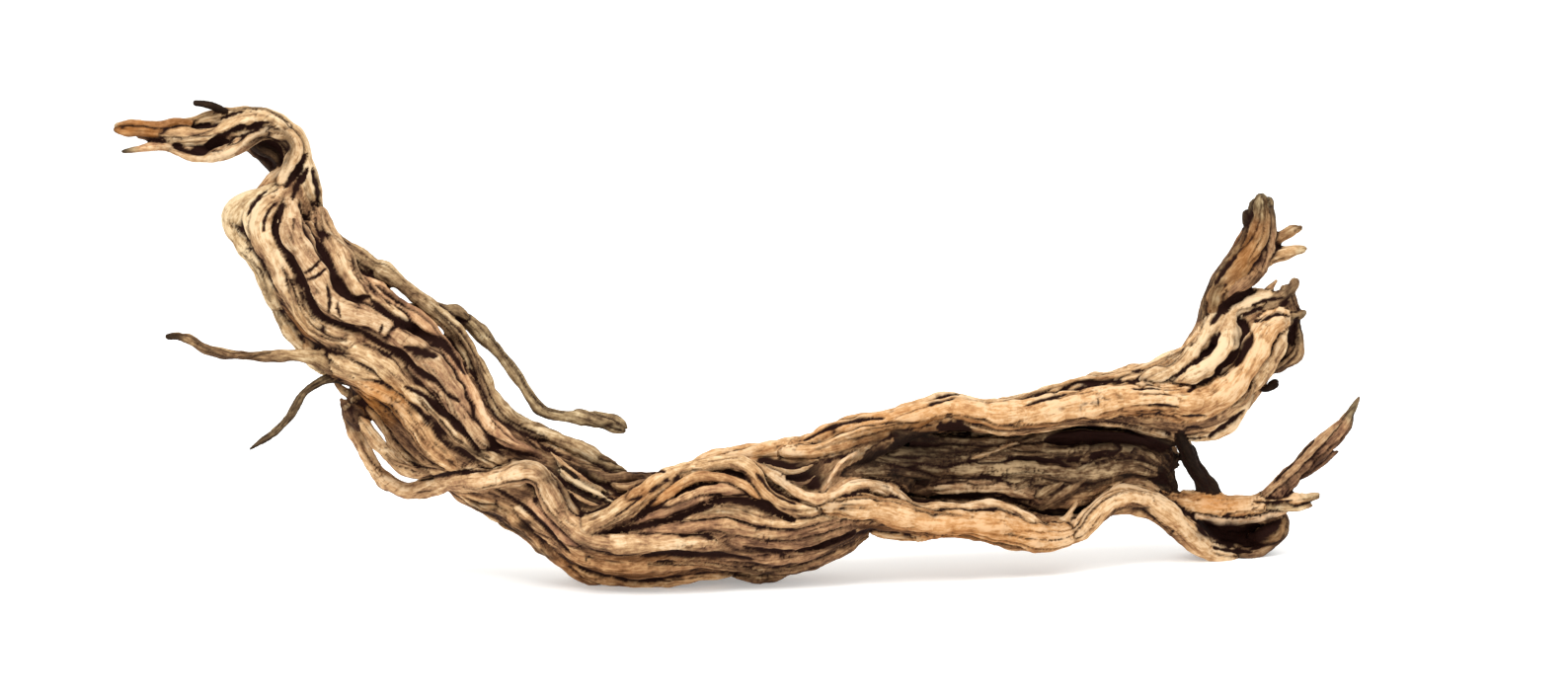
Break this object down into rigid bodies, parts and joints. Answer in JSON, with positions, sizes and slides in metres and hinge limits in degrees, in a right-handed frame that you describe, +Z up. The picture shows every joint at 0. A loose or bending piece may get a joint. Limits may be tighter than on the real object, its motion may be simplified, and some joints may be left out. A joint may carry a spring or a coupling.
{
  "type": "piece of driftwood",
  "caption": "Twisted, ropy length of bare weathered vine wood with raised forked ends, side roots and a hollowed heart; lies on its belly and a root foot.",
  "frame": {"origin": "centre of the bounding box, on the surface that the wood rests on", "axes": "+X along the wood to its forked right end as seen from the front, +Y to the back, +Z up"},
  "size_m": [0.6333, 0.1191, 0.2484],
  "materials": {
    "weathered_wood": "bare, sun and water worn, dry and matt, with dark grooves and a grey heart"
  },
  "bodies": {
    "root": {"driftwood": "weathered_wood"}
  },
  "joints": []
}
